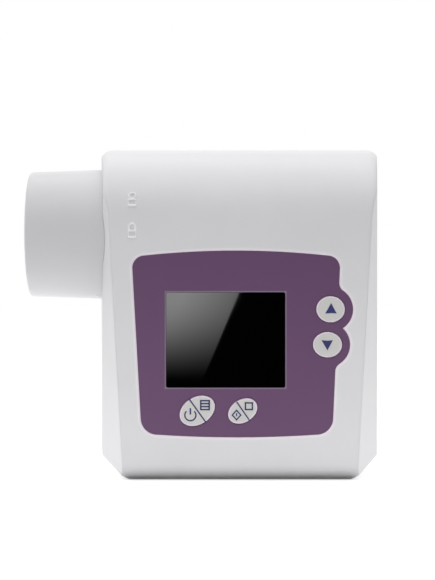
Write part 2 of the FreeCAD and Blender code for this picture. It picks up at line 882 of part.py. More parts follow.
board_head = KEY_HEIGHTS["up"] + size("switch_side") / 2 + size("board_margin")
board = box("board_blank", (size("board_left"), BOARD_FRONT, size("board_foot")),
            (size("board_right"), BOARD_BACK, board_head))
board_hole_radius = size("board_screw_radius") + size("board_hole_clearance")
board_cuts = [cylinder("board_hole_%d" % number, board_hole_radius, BEYOND, (x, -BEYOND / 2, z), "Y")
              for number, (x, z) in enumerate(BOARD_POSTS)]
notch_half_width = size("carrier_width") / 2 + 1
notch_floor = TUBE_HEIGHT - size("board_notch_drop")
board_cuts.append(box("board_notch", (ROTOR - notch_half_width, -BEYOND, notch_floor),
                      (ROTOR + notch_half_width, 0, TUBE_HEIGHT)))
piece("main_board", cut("board", board, board_cuts))
board_screw = (size("board_screw_radius"), size("board_screw_head_radius"), size("board_screw_head"),
               size("board_screw_length"))
piece("board_screws", group("board_screw_set", [
    screw("board_screw_%d" % number, x, z, BOARD_BACK, board_screw)
    for number, (x, z) in enumerate(BOARD_POSTS)]))

PANEL_SEAT = INSIDE_FRONT + size("frame_wall")
frame_block = window_block("frame_block", size("frame_wall") - size("display_inset"), INSIDE_FRONT, BOARD_FRONT)
frame_view = window_block("frame_view", -size("window_ledge"), INSIDE_FRONT - 1, BOARD_FRONT + 1)
frame_pocket = window_block("frame_pocket", -size("display_inset"), PANEL_SEAT, BOARD_FRONT + 1)
piece("display_frame", cut("display_holder", frame_block, [frame_view, frame_pocket]))
display_margin = -size("display_inset") - size("display_clearance")
piece("display_panel", window_block("display_glass", display_margin, PANEL_SEAT,
                                    PANEL_SEAT + size("display_thickness")))

SWITCH_TOP = BOARD_FRONT - size("switch_height")
PLUNGER_TOP = SWITCH_TOP - size("key_travel") - size("plunger_gap")
KEY_FLANGE = INSIDE_FRONT + size("key_flange_gap")
switch_blocks = []
for key in KEYS:
    x = size(key + "_key_place")
    z = KEY_HEIGHTS[key]
    half = size("switch_side") / 2
    block = box(key + "_switch_block", (x - half, SWITCH_TOP, z - half), (x + half, BOARD_FRONT, z + half))
    well_floor = PLUNGER_TOP + size("plunger_depth") + size("key_travel") + size("plunger_clearance")
    well = cylinder(key + "_switch_well", size("plunger_radius") + size("plunger_clearance"),
                    well_floor - PLUNGER_TOP, (x, PLUNGER_TOP, z), "Y")
    switch_blocks.append(cut(key + "_switch", block, [well]))
    plunger = cylinder(key + "_switch_plunger", size("plunger_radius"), size("plunger_depth"),
                       (x, PLUNGER_TOP, z), "Y")
    piece(key + "_plunger", plunger)

    top = FRONT - size("key_proud")
    cap = key_oval(key + "_cap", key, 0, top, KEY_FLANGE - top + size("key_flange_thickness") / 2)
    flange = key_oval(key + "_flange", key, size("key_flange_reach"), KEY_FLANGE, size("key_flange_thickness"))
    stem = cylinder(key + "_stem", size("key_stem_radius"), PLUNGER_TOP - KEY_FLANGE, (x, KEY_FLANGE, z), "Y")
    solid = fused(key + "_key_solid", [cap, flange, stem])
    document.recompute()
    rim = [index for index, edge in enumerate(solid.Shape.Edges, start=1)
           if edge.BoundBox.YMax < KEY_FLANGE.number - size("key_flange_gap").number]
    key_cap = document.addObject("Part::Fillet", key + "_key_cap")
    key_cap.Base = solid
    key_cap.Edges = [(index, size("key_edge_round").number, size("key_edge_round").number) for index in rim]
    piece(key + "_key", key_cap)
piece("key_switches", group("switch_set", switch_blocks))

half_chip = size("chip_side") / 2
chip_low = (size("chip_place") - half_chip, BOARD_BACK, size("chip_height_place") - half_chip)
chip_high = (chip_low[0] + size("chip_side"), BOARD_BACK + size("chip_height"), chip_low[2] + size("chip_side"))
piece("main_chip", box("chip", chip_low, chip_high))
buzzer_seat = (size("buzzer_place"), BOARD_BACK, size("buzzer_height_place"))
buzzer_can = cylinder("buzzer_can", size("buzzer_radius"), size("buzzer_height"), buzzer_seat, "Y")
port_floor = (buzzer_seat[0], BOARD_BACK + size("buzzer_height") / 2, buzzer_seat[2])
buzzer_port = cylinder("buzzer_port", size("buzzer_port"), size("buzzer_height"), port_floor, "Y")
piece("buzzer", cut("buzzer_body", buzzer_can, [buzzer_port]))
usb_top = size("usb_recess") + size("usb_depth")
usb_can = usb_block("usb_can", 0, size("usb_recess"), usb_top)
usb_room = usb_block("usb_room", -size("usb_wall"), -1, usb_top - size("usb_wall"))
piece("usb_socket", cut("usb_shell", usb_can, [usb_room]))

battery_low = (size("battery_left"), size("battery_front"), size("battery_foot"))
battery_high = (battery_low[0] + size("battery_width"), battery_low[1] + size("battery_thickness"),
                battery_low[2] + size("battery_height"))
cell = box("battery_cell", battery_low, battery_high)
document.recompute()
battery = document.addObject("Part::Fillet", "battery_pouch")
battery.Base = cell
battery.Edges = [(index, size("battery_round").number, size("battery_round").number)
                 for index, edge in enumerate(cell.Shape.Edges, start=1)
                 if edge.BoundBox.XLength > 1]
piece("battery", battery)

# Turbine: the mouth tube with its bayonet lugs, the clear chamber, and the fixed socket

TUBE_BACK = SOCKET_FACE - size("seat_gap")
NECK_END = TUBE_BACK + size("neck_length")
LUG_LEFT = TUBE_BACK + size("lug_setback")
LUG_RADIUS = size("neck_radius") + size("lug_height")
rim = size("rim_round")
lead_in = size("mouth_lead_in")
tube = revolved("tube_profile", [
    (MOUTH, size("mouthpiece_radius") + lead_in),
    (MOUTH, size("mouth_rim_radius") - rim),
    (MOUTH + rim, size("mouth_rim_radius"), rim, -1),
    (TUBE_BACK, size("mouth_root_radius")),
    (TUBE_BACK, size("neck_radius")),
    (NECK_END, size("neck_radius")),
    (NECK_END, size("chamber_radius")),
    (CHAMBER_LEFT, size("chamber_radius")),
    (CHAMBER_LEFT, size("mouthpiece_radius")),
    (MOUTH + lead_in, size("mouthpiece_radius")),
])
lugs = []
slots = []
slack = size("slot_slack_angle")
for number in range(2):
    start_angle = size("lug_place_angle") + 180 * number
    lugs.append(slice_about_tube("lug_%d" % number, LUG_RADIUS, LUG_LEFT, LUG_LEFT + size("lug_width"),
                                 start_angle, size("lug_angle")))
    open_angle = start_angle - size("twist_angle") - slack
    groove_radius = LUG_RADIUS + size("slot_clearance")
    slots.append(slice_about_tube("twist_slot_%d" % number, groove_radius, LUG_LEFT - size("slot_clearance"),
                                  LUG_LEFT + size("lug_width") + size("slot_clearance"), open_angle,
                                  size("lug_angle") + size("twist_angle") + 2 * slack))
    slots.append(slice_about_tube("entry_slot_%d" % number, groove_radius, SOCKET_FACE - 1,
                                  LUG_LEFT + size("lug_width") + size("slot_clearance"), open_angle,
                                  size("lug_angle") + 2 * slack))
tube_room = slice_about_tube("tube_room", size("chamber_radius"), CHAMBER_LEFT, NECK_END + 1)
piece("mouth_tube", cut("mouth_tube_bored", fused("mouth_tube_lugged", [tube] + lugs), [tube_room]))

EXHAUST_LEFT = CHAMBER_RIGHT - size("exhaust_depth")
piece("rotor_chamber", revolved("chamber_profile", [
    (CHAMBER_LEFT, size("chamber_bore")),
    (CHAMBER_LEFT, size("chamber_radius")),
    (CHAMBER_RIGHT, size("chamber_radius")),
    (CHAMBER_RIGHT, size("exhaust_radius")),
    (EXHAUST_LEFT, size("exhaust_radius")),
    (EXHAUST_LEFT, size("chamber_bore")),
]))

turning = size("turning_clearance")
NECK_ROOM = NECK_END + size("neck_room")
LINER_END = RIGHT - size("liner_recess")
liner = revolved("socket_profile", [
    (SOCKET_FACE, size("neck_radius") + turning),
    (SOCKET_FACE, size("collar_radius")),
    (SOCKET_FACE + size("collar_length"), size("collar_radius")),
    (SOCKET_FACE + size("collar_length"), size("liner_radius")),
    (LINER_END, size("liner_radius")),
    (LINER_END, size("chamber_radius") + turning),
    (NECK_ROOM, size("chamber_radius") + turning),
    (NECK_ROOM, size("neck_radius") + turning),
])


def spoke(name, radius, start, tall, angle, along):
    """A cylinder that points away from the turbine's axis, at an angle from straight down."""
    direction = V(0, math.sin(math.radians(angle.number)), -math.cos(math.radians(angle.number)))
    thing = document.addObject("Part::Cylinder", name)
    bind(thing, "Radius", radius)
    bind(thing, "Height", tall)
    at = (along, sine(angle) * start, TUBE_HEIGHT - cosine(angle) * start)
    return place(thing, at, FreeCAD.Rotation(V(0, 0, 1), direction))


CARRIER_RADIUS = size("liner_radius") + size("carrier_thickness")
LAMP_START = size("chamber_radius") + turning + size("lamp_nose_gap")
windows = []
carrier_holes = []
for name, way in (("emitter", -1), ("detector", 1)):
    angle = size("lamp_angle") * way
    hole_radius = size("lamp_radius") + size("lamp_clearance")
    windows.append(spoke(name + "_window", hole_radius, 1, size("liner_radius"), angle, ROTOR))
    carrier_holes.append(spoke(name + "_hole", hole_radius, 1, BEYOND / 2, angle, ROTOR))
    lens = spoke(name + "_lens", size("lamp_radius"), LAMP_START, CARRIER_RADIUS - LAMP_START, angle, ROTOR)
    rim_ring = spoke(name + "_rim", size("lamp_rim_radius"), CARRIER_RADIUS, size("lamp_rim_height"),
                     angle, ROTOR)
    piece("ir_" + name, fused(name + "_lamp", [lens, rim_ring]))
piece("turbine_socket", cut("socket_slotted", liner, slots + windows))

half_carrier = size("carrier_width") / 2
saddle = slice_about_tube("carrier_slice", CARRIER_RADIUS, ROTOR - half_carrier, ROTOR + half_carrier,
                          -size("carrier_angle") / 2, size("carrier_angle"))
carrier_room = slice_about_tube("carrier_room", size("liner_radius") + size("socket_fit"),
                                ROTOR - half_carrier - 1, ROTOR + half_carrier + 1)
piece("sensor_carrier", cut("carrier", saddle, [carrier_room] + carrier_holes))

# Swirlers: a hub and a ring joined by twisted blades, one on each side of the rotor


def blade(name, start, tall, turn, first_angle):
    """One twisted blade, lofted through its section at even steps along the axis."""
    steps = int(size("blade_steps").number)
    sink = size("blade_sink").number
    inner = size("swirler_hub_radius").number - sink
    outer = size("chamber_bore").number - size("swirler_ring_wall").number + sink
    half = size("blade_thickness").number / 2
    sections = []
    for step in range(steps + 1):
        angle = math.radians(first_angle + turn * step / steps)
        out = V(0, math.cos(angle), math.sin(angle))
        side = V(0, -math.sin(angle), math.cos(angle))
        middle = V(start + tall * step / steps, 0, TUBE_HEIGHT.number)
        corners = [middle + out * inner - side * half, middle + out * outer - side * half,
                   middle + out * outer + side * half, middle + out * inner + side * half]
        sections.append(Part.makePolygon(corners + corners[:1]))
    thing = document.addObject("Part::Feature", name)
    thing.Shape = Part.makeLoft(sections, True, False)
    return thing


def swirler(node, start, rotor_side, turn):
    """A swirler whose hub holds a bearing on the rotor's side and is rounded on the other."""
    tall = size("swirler_length")
    end = start + tall
    bore = size("chamber_bore")
    ring_blank = slice_about_tube(node + "_ring_blank", bore, start, end)
    ring_room = slice_about_tube(node + "_ring_room", bore - size("swirler_ring_wall"), start - 1, end + 1)
    ring = cut(node + "_ring", ring_blank, [ring_room])
    hub = slice_about_tube(node + "_hub", size("swirler_hub_radius"), start, end)
    nose = document.addObject("Part::Sphere", node + "_nose")
    bind(nose, "Radius", size("swirler_hub_radius"))
    place(nose, (start if rotor_side > 0 else end, 0, TUBE_HEIGHT))
    count = int(size("blade_count").number)
    blades = [blade("%s_blade_%d" % (node, number), start.number, tall.number, turn, 360 * number / count)
              for number in range(count)]
    seat = end - size("bearing_length") if rotor_side > 0 else start
    seat_hole = slice_about_tube(node + "_seat", size("bearing_radius"), seat, seat + size("bearing_length"))
    piece(node, cut(node + "_solid", fused(node + "_joined", [ring, hub, nose] + blades), [seat_hole]))
    return seat


INLET_END = ROTOR - size("vane_length") / 2 - size("swirler_gap")
OUTLET_START = ROTOR + size("vane_length") / 2 + size("swirler_gap")
turn = size("blade_twist").number
inlet_seat = swirler("inlet_swirler", INLET_END - size("swirler_length"), 1, turn)
outlet_seat = swirler("outlet_swirler", OUTLET_START, -1, -turn)

BORE = size("shaft_radius") + size("shaft_clearance")
for node, seat, bore_start in (
        ("inlet_bearing", inlet_seat, INLET_END - size("bearing_depth")),
        ("outlet_bearing", outlet_seat, OUTLET_START)):
    cup = slice_about_tube(node + "_cup", size("bearing_radius"), seat, seat + size("bearing_length"))
    bore_hole = slice_about_tube(node + "_bore", BORE, bore_start, bore_start + size("bearing_depth"))
    piece(node, cut(node + "_bored", cup, [bore_hole]))

end_gap = size("bearing_depth") - size("shaft_end_gap")
piece("rotor_shaft", slice_about_tube("shaft", size("shaft_radius"), INLET_END - end_gap,
                                      OUTLET_START + end_gap))
vane_left = ROTOR - size("vane_length") / 2
vane_right = ROTOR + size("vane_length") / 2
half_vane = size("vane_thickness") / 2
vane = box("vane_plate", (vane_left, -half_vane, TUBE_HEIGHT - size("vane_radius")),
           (vane_right, half_vane, TUBE_HEIGHT + size("vane_radius")))
vane_hub = slice_about_tube("vane_hub", size("vane_hub_radius"), vane_left, vane_right)
vane_bore = slice_about_tube("vane_bore", size("shaft_radius"), vane_left - 1, vane_right + 1)
piece("rotor_vane", cut("vane", fused("vane_solid", [vane, vane_hub]), [vane_bore]))

clip_left = OUTLET_START + size("swirler_length")
clip = slice_about_tube("clip_slice", size("chamber_bore"), clip_left, clip_left + size("clip_width"),
                        size("clip_opening") / 2, 360 - size("clip_opening"))
clip_room = slice_about_tube("clip_room", size("chamber_bore") - size("clip_wall"), clip_left - 1,
                             clip_left + size("clip_width") + 1)
piece("retaining_ring", cut("clip", clip, [clip_room]))

# Checks, then one file for each piece

document.recompute()
for thing in document.Objects:
    if "Invalid" in thing.State or "Error" in thing.State:
        raise RuntimeError("%s did not build: %s" % (thing.Name, thing.State))
for node, thing in PIECES.items():
    if thing.Shape.isNull() or not thing.Shape.isValid() or not thing.Shape.Solids:
        raise RuntimeError("%s has no valid solid" % node)
os.makedirs("parts", exist_ok=True)
for node, thing in PIECES.items():
    thing.Shape.exportStep(os.path.join("parts", node + ".step"))
    print(node, len(thing.Shape.Solids), round(thing.Shape.Volume, 2))
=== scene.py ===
import json
from math import pi, radians, tan

import bpy
from mathutils import Matrix, Vector


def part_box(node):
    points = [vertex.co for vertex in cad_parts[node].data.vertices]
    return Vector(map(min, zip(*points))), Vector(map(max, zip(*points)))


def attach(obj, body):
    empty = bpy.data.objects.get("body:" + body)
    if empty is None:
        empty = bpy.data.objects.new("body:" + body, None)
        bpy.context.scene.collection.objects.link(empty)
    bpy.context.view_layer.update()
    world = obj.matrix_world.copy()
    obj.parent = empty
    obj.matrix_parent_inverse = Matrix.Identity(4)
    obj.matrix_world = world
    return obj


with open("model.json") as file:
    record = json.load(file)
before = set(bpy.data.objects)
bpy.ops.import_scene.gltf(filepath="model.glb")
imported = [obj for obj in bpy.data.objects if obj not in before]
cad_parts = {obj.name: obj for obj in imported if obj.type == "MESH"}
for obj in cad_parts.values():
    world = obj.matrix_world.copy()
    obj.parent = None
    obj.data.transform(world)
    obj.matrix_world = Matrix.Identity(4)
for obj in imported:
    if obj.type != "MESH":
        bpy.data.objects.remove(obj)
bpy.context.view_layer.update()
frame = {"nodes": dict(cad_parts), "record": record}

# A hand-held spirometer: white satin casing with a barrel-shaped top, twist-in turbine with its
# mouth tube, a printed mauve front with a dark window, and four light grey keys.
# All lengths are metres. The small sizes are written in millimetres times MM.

MM = 0.001

low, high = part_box("rear_shell")
BARREL_RADIUS = high.y
BARREL_AXIS = high.z - BARREL_RADIUS

# Nodes and colours

# the sockets of a colour mix: its factor, its two colours and its result
FACTOR = 0
FIRST = 6
SECOND = 7
RESULT = 2
WHITE = "#FFFFFF"


def paint(hexcode):
    """The linear values of an sRGB colour such as #E9E9E9."""
    parts = [int(hexcode[place:place + 2], 16) / 255 for place in (1, 3, 5)]
    return [part / 12.92 if part <= 0.04045 else ((part + 0.055) / 1.055) ** 2.4 for part in parts] + [1]


def add(tree, kind, inputs=None, **settings):
    """Adds one node with its settings. An input may be a number, a hex colour, a socket or a node.

    A socket is linked, and a node stands for its first output."""
    made = tree.nodes.new(kind)
    for name, value in settings.items():
        setattr(made, name, value)
    for name, value in (inputs or {}).items():
        if isinstance(value, bpy.types.Node):
            value = value.outputs[0]
        if isinstance(value, bpy.types.NodeSocket):
            tree.links.new(value, made.inputs[name])
        elif isinstance(value, str):
            made.inputs[name].default_value = paint(value)
        else:
            made.inputs[name].default_value = value
    return made


def new_material(name):
    material = bpy.data.materials.new(name)
    material.use_nodes = True
    material.node_tree.nodes.clear()
    return material, material.node_tree


EDGE_ON_FLAT = -0.9997
EDGE_TURNED = -0.985
FINE_SAMPLES = 12
SAMPLES = 8


def near_edge(tree, reach):
    """1 along the edges of a face to the front, within a reach in millimetres, and 0 on the flat."""
    rounded = add(tree, "ShaderNodeBevel", {"Radius": reach * MM}, samples=FINE_SAMPLES)
    turned = add(tree, "ShaderNodeSeparateXYZ", {"Vector": rounded})
    return add(tree, "ShaderNodeMapRange", {"Value": turned.outputs["Y"], "From Min": EDGE_ON_FLAT,
                                            "From Max": EDGE_TURNED})


def beyond_box(tree, low, high, axes="XZ"):
    """How far a point lies outside a box along two axes, and less than 0 inside it."""
    place = add(tree, "ShaderNodeTexCoord").outputs["Object"]
    where = add(tree, "ShaderNodeSeparateXYZ", {"Vector": place})
    reaches = []
    for axis in axes:
        least = getattr(low, axis.lower())
        most = getattr(high, axis.lower())
        middle = (least + most) / 2
        off = add(tree, "ShaderNodeMath", {0: where.outputs[axis], 1: middle}, operation="SUBTRACT")
        off = add(tree, "ShaderNodeMath", {0: off}, operation="ABSOLUTE")
        reaches.append(add(tree, "ShaderNodeMath", {0: off, 1: (most - least) / 2}, operation="SUBTRACT"))
    return add(tree, "ShaderNodeMath", {0: reaches[0], 1: reaches[1]}, operation="MAXIMUM")


# Moulded plastics

CLOUD_SCALE = 45
CLOUD_ROUGHNESS = 0.6
CLOUD_LOW = 0.3
CLOUD_HIGH = 0.7
DARKEST = 0.93
PALEST = 1.03
GLOSS_CHANGE = 0.05
GRAIN_STRENGTH = 0.6
PLASTIC_IOR = 1.54
RIM_WIDTH = 1.0 * MM
GROOVE_BOTTOM = 0.05 * MM
GROOVE_EDGE = 0.16 * MM
GROOVE_DEPTH = 0.15 * MM
GROOVE_PAINTED_SHADE = "#9C9C9E"


def round_panel(tree, depth):
    """1 on the front of the casing, close round the printed panel, and 0 elsewhere."""
    beside = add(tree, "ShaderNodeMath", {0: beyond_box(tree, *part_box("front_overlay")), 1: RIM_WIDTH},
                 operation="LESS_THAN")
    front = add(tree, "ShaderNodeMath", {0: depth, 1: -BARREL_RADIUS / 2}, operation="LESS_THAN")
    return add(tree, "ShaderNodeMath", {0: beside, 1: front}, operation="MULTIPLY")


def moulded(name, shade, rough, grain=0.35, grain_depth=0.006, edge=0.35, shine=0.5, painted_highlight=None,
            highlight_reach=0.3, casing=False):
    """An injection-moulded plastic: fine spark-eroded grain, slow changes of gloss, softened edges.

    The real grain is about 0.05 mm wide. It is drawn a few tenths wide, so that it shows. The slow
    clouds are about 22 mm across. A paler colour is painted along the edges of the front as a
    highlight, on the casing only round the printed panel. The casing also has its parting line, a fine
    groove where Y is 0, with a darker grey painted in it as shade."""
    material, tree = new_material(name)
    place = add(tree, "ShaderNodeTexCoord").outputs["Object"]
    clouds = add(tree, "ShaderNodeTexNoise", {"Vector": place, "Scale": CLOUD_SCALE, "Detail": 3,
                                              "Roughness": CLOUD_ROUGHNESS})
    grains = add(tree, "ShaderNodeTexNoise", {"Vector": place, "Scale": 1 / (grain * MM), "Detail": 3})
    gloss = add(tree, "ShaderNodeMapRange", {"Value": clouds, "From Min": CLOUD_LOW, "From Max": CLOUD_HIGH,
                                             "To Min": rough - GLOSS_CHANGE, "To Max": rough + GLOSS_CHANGE})
    soft_edge = add(tree, "ShaderNodeBevel", {"Radius": edge * MM}, samples=SAMPLES)
    bump = add(tree, "ShaderNodeBump", {"Height": grains, "Distance": grain_depth * MM,
                                        "Strength": GRAIN_STRENGTH, "Normal": soft_edge})
    value = add(tree, "ShaderNodeMapRange", {"Value": clouds, "To Min": DARKEST, "To Max": PALEST})
    depth = add(tree, "ShaderNodeSeparateXYZ", {"Vector": place}).outputs["Y"]
    colour = shade
    # painted highlight: a paler colour along the edges of the front, where they turn away from the flat
    if painted_highlight:
        mask = near_edge(tree, highlight_reach)
        if casing:
            mask = add(tree, "ShaderNodeMath", {0: mask, 1: round_panel(tree, depth)}, operation="MULTIPLY")
        colour = add(tree, "ShaderNodeMix", {FACTOR: mask, FIRST: shade, SECOND: painted_highlight},
                     data_type="RGBA").outputs[RESULT]
    # painted shade: the parting-line groove is coloured darker grey, as the shade inside it
    if casing:
        away = add(tree, "ShaderNodeMath", {0: depth}, operation="ABSOLUTE")
        groove = add(tree, "ShaderNodeMapRange", {"Value": away, "From Min": GROOVE_BOTTOM,
                                                  "From Max": GROOVE_EDGE})
        colour = add(tree, "ShaderNodeMix", {FACTOR: groove, FIRST: GROOVE_PAINTED_SHADE, SECOND: colour},
                     data_type="RGBA").outputs[RESULT]
        bump = add(tree, "ShaderNodeBump", {"Height": groove, "Distance": GROOVE_DEPTH, "Strength": 1.0,
                                            "Normal": bump})
    clouded = add(tree, "ShaderNodeHueSaturation", {"Value": value, "Color": colour})
    surface = add(tree, "ShaderNodeBsdfPrincipled", {
        "Base Color": clouded, "Roughness": gloss, "Normal": bump, "IOR": PLASTIC_IOR,
        "Specular IOR Level": shine})
    add(tree, "ShaderNodeOutputMaterial", {"Surface": surface})
    return material


# white ABS, satin: pale, a soft wide highlight, and slightly rounded edges that catch the light; a
# pink-white highlight is painted along the front edges close round the printed panel
casing_abs = moulded("moulded_white_abs", "#E6E6E8", 0.36, edge=0.9, painted_highlight="#FBF2FB", highlight_reach=1.4,
                     casing=True)
# the same ABS where small marks stand out of the casing: their edges are crisper, and their colour is
# painted paler than the casing's as a painted highlight on their lit slopes
mark_abs_painted_paler = moulded("moulded_white_abs_mark", "#F8F8FA", 0.36, edge=0.05)
# the same ABS from a smoother tool: the mouth tube is cleaned often, so it is less rough; its colour
# is painted darker than the casing's, as painted shade for the deeper shading on the tube
tube_abs = moulded("smooth_white_abs", "#DCDCDE", 0.30, grain=0.5, grain_depth=0.004, shine=0.25)
# ABS liner of the barrel, left matt
liner_abs = moulded("matt_white_abs", "#DCDCDE", 0.5, grain_depth=0.01)
# silicone-coated grey key caps: matt, with a paler, slightly pink highlight painted along their edges
key_plastic = moulded("matt_grey_key_plastic", "#D7D6D4", 0.48, grain=0.25, edge=0.2, painted_highlight="#F4E4F4",
                      highlight_reach=0.2)
# black glass-filled nylon of switches, chip bodies and the sounder
switch_plastic = moulded("black_filled_nylon", "#1B1B1D", 0.42, grain=0.4, grain_depth=0.01)
# black ABS holder of the display and of the lamps
holder_abs = moulded("matt_black_abs", "#202124", 0.5, grain_depth=0.01)
# white acetal swirlers: waxy, slightly glossy
swirler_plastic = moulded("white_acetal", "#E4E4E0", 0.33, grain=0.5, edge=0.15)
# thin black polyester vane
vane_plastic = moulded("black_polyester_film", "#141416", 0.3, grain=0.6, grain_depth=0.002, edge=0.1)
# dark violet resin that lets infrared through, cast and glossy
lamp_resin = moulded("dark_infrared_resin", "#2B2233", 0.12, grain=0.8, grain_depth=0.002, edge=0.2)
# polished synthetic ruby of the bearings
ruby = moulded("polished_ruby", "#8E1B33", 0.08, grain=1, grain_depth=0.001, edge=0.05)

# Printed front: mauve ink behind a clear polycarbonate film with a velvet face

PANEL_FOOT = 12 * MM
PANEL_TOP = 61 * MM
WINDOW_LINE = 0.35 * MM
FILM_EDGE = 0.15 * MM
VELVET_GRAIN = 0.25 * MM
VELVET_DEPTH = 0.004 * MM

film, tree = new_material("mauve_print_under_velvet_film")
place = add(tree, "ShaderNodeTexCoord").outputs["Object"]
where = add(tree, "ShaderNodeSeparateXYZ", {"Vector": place})
# painted shade: the ink is lighter towards the bottom and darker towards the top, as the floor's bounced
# light would make it
height = add(tree, "ShaderNodeMapRange", {"Value": where.outputs["Z"], "From Min": PANEL_FOOT,
                                          "From Max": PANEL_TOP})
ink_with_painted_shade = add(tree, "ShaderNodeMix", {FACTOR: height, FIRST: "#6A4B6D", SECOND: "#624366"},
          data_type="RGBA").outputs[RESULT]
# a thin lighter line is painted round the window as a highlight along its edge
line = add(tree, "ShaderNodeMath", {0: beyond_box(tree, *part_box("screen_window")), 1: WINDOW_LINE},
           operation="LESS_THAN")
printed = add(tree, "ShaderNodeMix", {FACTOR: line, FIRST: ink_with_painted_shade, SECOND: "#84708A"},
              data_type="RGBA").outputs[RESULT]
soft_edge = add(tree, "ShaderNodeBevel", {"Radius": FILM_EDGE}, samples=SAMPLES)
velvet = add(tree, "ShaderNodeTexNoise", {"Vector": place, "Scale": 1 / VELVET_GRAIN, "Detail": 2})
bump = add(tree, "ShaderNodeBump", {"Height": velvet, "Distance": VELVET_DEPTH, "Strength": GRAIN_STRENGTH,
                                    "Normal": soft_edge})
surface = add(tree, "ShaderNodeBsdfPrincipled", {"Base Color": printed, "Roughness": 0.42, "IOR": 1.58,
                                                 "Specular IOR Level": 0.25, "Normal": bump})
add(tree, "ShaderNodeOutputMaterial", {"Surface": surface})

# Window: black-backed acrylic, polished; only a trace of handling changes its gloss

SMEAR_SCALE = 90
LENS_EDGE = 0.1 * MM

lens, tree = new_material("polished_black_acrylic")
place = add(tree, "ShaderNodeTexCoord").outputs["Object"]
smear = add(tree, "ShaderNodeTexNoise", {"Vector": place, "Scale": SMEAR_SCALE, "Detail": 4,
                                         "Distortion": 0.4})
gloss = add(tree, "ShaderNodeMapRange", {"Value": smear, "To Min": 0.01, "To Max": 0.035})
soft_edge = add(tree, "ShaderNodeBevel", {"Radius": LENS_EDGE}, samples=SAMPLES)
surface = add(tree, "ShaderNodeBsdfPrincipled", {"Base Color": "#020203", "Roughness": gloss, "IOR": 1.49,
                                                 "Normal": soft_edge})
add(tree, "ShaderNodeOutputMaterial", {"Surface": surface})

# Display: dark glass over the switched-off cell rows

ROW_SCALE = 500

display, tree = new_material("switched_off_display_glass")
place = add(tree, "ShaderNodeTexCoord").outputs["Object"]
rows = add(tree, "ShaderNodeTexWave", {"Vector": place, "Scale": ROW_SCALE}, bands_direction="Z")
shade = add(tree, "ShaderNodeMix", {FACTOR: rows.outputs["Fac"], FIRST: "#101214", SECOND: "#17191C"},
            data_type="RGBA").outputs[RESULT]
surface = add(tree, "ShaderNodeBsdfPrincipled", {"Base Color": shade, "Roughness": 0.05, "IOR": 1.52})
add(tree, "ShaderNodeOutputMaterial", {"Surface": surface})

# Clear rotor chamber: styrene with a smoky tint

STYRENE_EDGE = 0.8 * MM
STYRENE_CLOUDS = 60

clear, tree = new_material("clear_styrene")
place = add(tree, "ShaderNodeTexCoord").outputs["Object"]
flow = add(tree, "ShaderNodeTexNoise", {"Vector": place, "Scale": STYRENE_CLOUDS, "Detail": 2})
gloss = add(tree, "ShaderNodeMapRange", {"Value": flow, "To Min": 0.03, "To Max": 0.08})
soft_edge = add(tree, "ShaderNodeBevel", {"Radius": STYRENE_EDGE}, samples=SAMPLES)
surface = add(tree, "ShaderNodeBsdfPrincipled", {"Base Color": "#D3D8DA", "Roughness": gloss, "IOR": 1.59,
                                                 "Transmission Weight": 0.75, "Normal": soft_edge})
add(tree, "ShaderNodeOutputMaterial", {"Surface": surface})

# Metals

LINE_STRENGTH = 0.5


def metal(name, shade, rough, scratch, stretch=(1, 1, 1), depth=0.004, edge=0.12):
    """A metal with fine lines, as many to the metre as scratch says; stretch packs them along X, Y and Z."""
    material, tree = new_material(name)
    place = add(tree, "ShaderNodeTexCoord").outputs["Object"]
    drawn = add(tree, "ShaderNodeMapping", {"Vector": place, "Scale": stretch})
    lines = add(tree, "ShaderNodeTexNoise", {"Vector": drawn, "Scale": scratch, "Detail": 3})
    gloss = add(tree, "ShaderNodeMapRange", {"Value": lines, "To Min": rough * 0.7, "To Max": rough * 1.4})
    soft_edge = add(tree, "ShaderNodeBevel", {"Radius": edge * MM}, samples=SAMPLES)
    bump = add(tree, "ShaderNodeBump", {"Height": lines, "Distance": depth * MM, "Strength": LINE_STRENGTH,
                                        "Normal": soft_edge})
    surface = add(tree, "ShaderNodeBsdfPrincipled", {"Base Color": shade, "Metallic": 1.0, "Roughness": gloss,
                                                     "Normal": bump})
    add(tree, "ShaderNodeOutputMaterial", {"Surface": surface})
    return material


# zinc-plated steel screws: bluish grey, slightly cloudy plating
screw_steel = metal("zinc_plated_steel", "#B9BBBE", 0.32, 1500)
# hardened ground steel of the shaft and the clip: lines run round the bar
shaft_steel = metal("ground_spring_steel", "#A9AAAD", 0.25, 2500, (6, 1, 1))
# bright tin plate of the socket, drawn from sheet
socket_metal = metal("tin_plated_sheet", "#C6C7C8", 0.18, 1200, (1, 5, 5))
# aluminium pouch foil of the battery, matt with a faint texture from its seal tool
battery_foil = metal("aluminium_pouch_foil", "#C2C3C6", 0.38, 700, depth=0.02, edge=0.6)

# Circuit board: green solder mask over copper tracks, which show as lighter raised lines

TRACK_SCALE = 330
TRACK_DEPTH = 0.03 * MM

board, tree = new_material("green_solder_mask")
place = add(tree, "ShaderNodeTexCoord").outputs["Object"]
turned = add(tree, "ShaderNodeMapping", {"Vector": place, "Rotation": (radians(90), 0, 0)})
tracks = add(tree, "ShaderNodeTexBrick", {"Vector": turned, "Scale": TRACK_SCALE, "Mortar Size": 0.05,
                                          "Color1": "#1D5A34", "Color2": "#21613A", "Mortar": "#2F7A4A"})
bump = add(tree, "ShaderNodeBump", {"Height": tracks.outputs["Fac"], "Distance": TRACK_DEPTH,
                                    "Strength": LINE_STRENGTH})
surface = add(tree, "ShaderNodeBsdfPrincipled", {"Base Color": tracks, "Roughness": 0.3, "IOR": 1.52,
                                                 "Normal": bump})
add(tree, "ShaderNodeOutputMaterial", {"Surface": surface})

